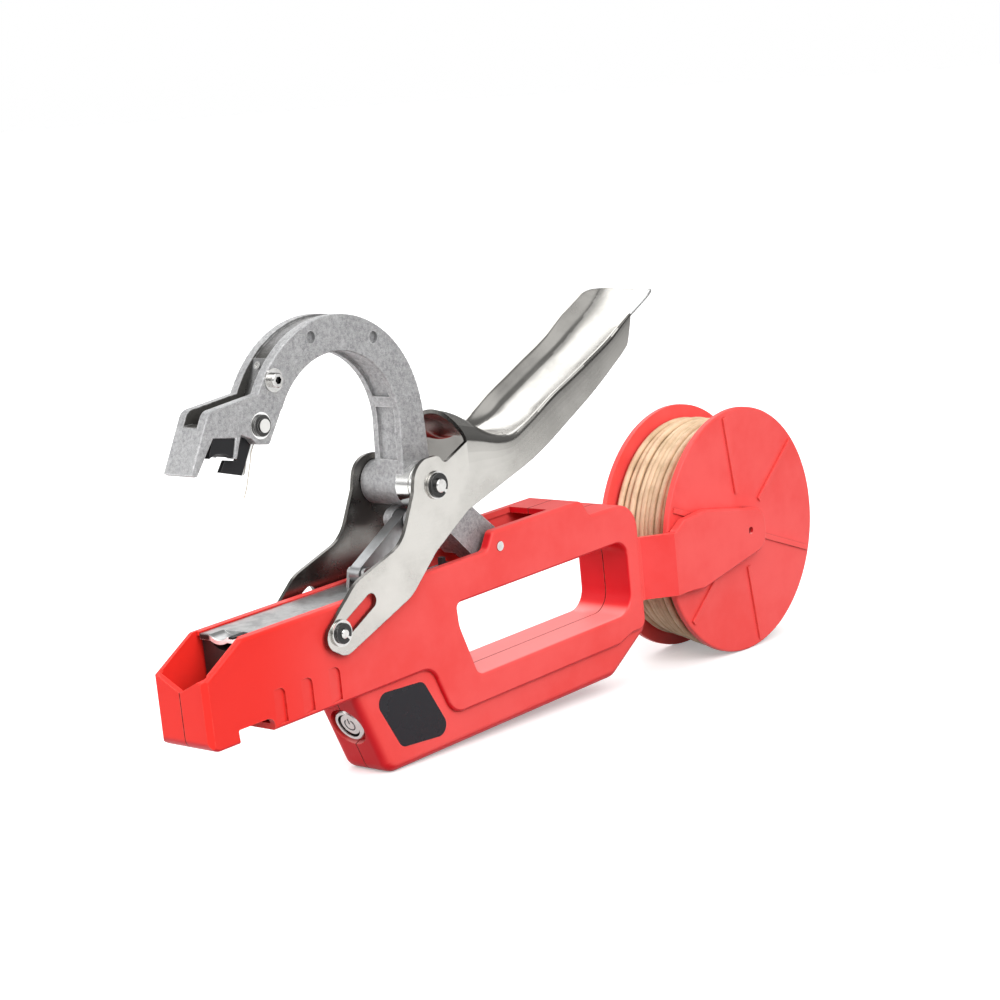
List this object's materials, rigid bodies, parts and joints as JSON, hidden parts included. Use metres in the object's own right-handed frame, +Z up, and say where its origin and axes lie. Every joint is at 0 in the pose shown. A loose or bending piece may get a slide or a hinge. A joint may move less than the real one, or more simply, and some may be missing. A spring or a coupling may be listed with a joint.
{
  "type": "electric vine tying tool",
  "caption": "Handheld electric tying tool with a hooked arm, squeeze lever, hand-hole grip, nose with wire twister and a rear wire spool, for tying vines to trellis wire",
  "frame": {"origin": "middle of the footprint on the ground, the tool standing on the spool rims and the front corner of its belly", "axes": "X from nose to spool, Y across the tool with the labelled side at -Y, Z up"},
  "size_m": [0.3412, 0.0434, 0.1624],
  "materials": {
    "shell": "satin moulded plastic",
    "label": "blank black film",
    "dark": "dark moulded plastic",
    "steel": "stainless sheet",
    "zinc": "zinc plated",
    "bright": "turned and polished",
    "cast": "cast, grainy",
    "black": "black oxide",
    "wire": "tan coated tie wire",
    "spool": "red moulded spool",
    "board": "green board",
    "cell": "sleeved cell",
    "motor": "drawn can",
    "brass": "sintered bronze"
  },
  "bodies": {
    "body": {"near_shell": "shell", "far_shell": "shell", "shell_screws": "black", "label_plate": "label", "guide_block": "dark", "slot_pin": "zinc", "slot_washers": "zinc", "slot_clips": "black", "pivot_pin": "zinc", "return_spring": "zinc", "gear_motor": "motor", "motor_gearbox": "motor", "shaft_bearing": "brass", "button_bezel": "bright", "button_nut": "zinc", "button_switch": "dark", "battery_cells": "cell", "circuit_board": "board", "micro_switch": "dark", "charge_socket": "dark", "spool_axle": "zinc", "friction_washers": "dark"},
    "feed": {"feed_plate": "zinc", "cutter_blade": "black", "link_front_pin": "zinc"},
    "link": {"drive_link": "zinc"},
    "hook": {"hook_casting": "cast", "fixed_jaw": "black", "jaw_washer": "bright", "jaw_pin": "black", "hook_washer": "zinc", "hook_screw": "zinc", "wire_clip": "zinc", "clip_screw": "zinc", "tie_wire_end": "wire", "lever_bush": "bright", "lever_pin": "zinc", "lever_washers": "zinc", "lever_clips": "black", "link_rear_pin": "zinc"},
    "jaw": {"moving_jaw": "black", "jaw_backing": "bright"},
    "lever": {"squeeze_lever": "steel"},
    "spool": {"spool_near_flange": "spool", "spool_far_flange": "spool", "spool_hub": "spool", "wire_core": "wire", "wire_winding": "wire"},
    "twister": {"twister_head": "bright", "twister_shaft": "zinc", "shaft_coupling": "zinc"},
    "button": {"button_cap": "bright"},
    "plunger": {"switch_plunger": "dark"}
  },
  "joints": [
    {"name": "hook_pivot", "type": "hinge", "parent": "body", "child": "hook", "pos_m": [-0.02329, 0, 0.06987], "axis": [0, -1, 0], "range_deg": [0, 22.5], "stiffness_Nm_per_rad": 0.8, "springref_deg": -34.38, "deforming": ["tie_wire_end"]},
    {"name": "lever_pivot", "type": "hinge", "parent": "hook", "child": "lever", "pos_m": [-0.05787, 0, 0.09838], "axis": [0, -1, 0], "range_deg": [-33.4, 0]},
    {"name": "feed_slide", "type": "slide", "parent": "body", "child": "feed", "axis": [-0.9989, 0, -0.0469], "range_m": [0, 0.00675]},
    {"name": "link_pivot", "type": "hinge", "parent": "feed", "child": "link", "pos_m": [-0.08339, 0, 0.07046], "axis": [0, -1, 0], "range_deg": [-30, 0]},
    {"name": "gripper_jaw", "type": "hinge", "parent": "hook", "child": "jaw", "pos_m": [-0.13104, 0, 0.13009], "axis": [0, -1, 0], "range_deg": [0, 6], "stiffness_Nm_per_rad": 0.05, "springref_deg": -22.92},
    {"name": "twister_spin", "type": "hinge", "parent": "body", "child": "twister", "pos_m": [-0.15618, 0, 0.04301], "axis": [0.9989, 0, 0.0469], "continuous": true},
    {"name": "spool_spin", "type": "hinge", "parent": "body", "child": "spool", "pos_m": [0.1206, 0, 0.05], "axis": [0, 1, 0], "continuous": true},
    {"name": "power_button", "type": "slide", "parent": "body", "child": "button", "axis": [0.9064, 0, 0.4223], "range_m": [0, 0.0012], "stiffness_N_per_m": 800, "springref_m": -0.0006},
    {"name": "switch_plunger", "type": "slide", "parent": "body", "child": "plunger", "axis": [0.0469, 0, -0.9989], "range_m": [0, 0.00081]}
  ],
  "couplings": [
    {"joint": "lever_pivot", "follows": "hook_pivot", "ratio": -1.48},
    {"joint": "feed_slide", "follows": "hook_pivot", "m_per_rad": 0.01714},
    {"joint": "link_pivot", "follows": "hook_pivot", "ratio": -1.3275},
    {"joint": "switch_plunger", "follows": "hook_pivot", "m_per_rad": 0.002037}
  ]
}
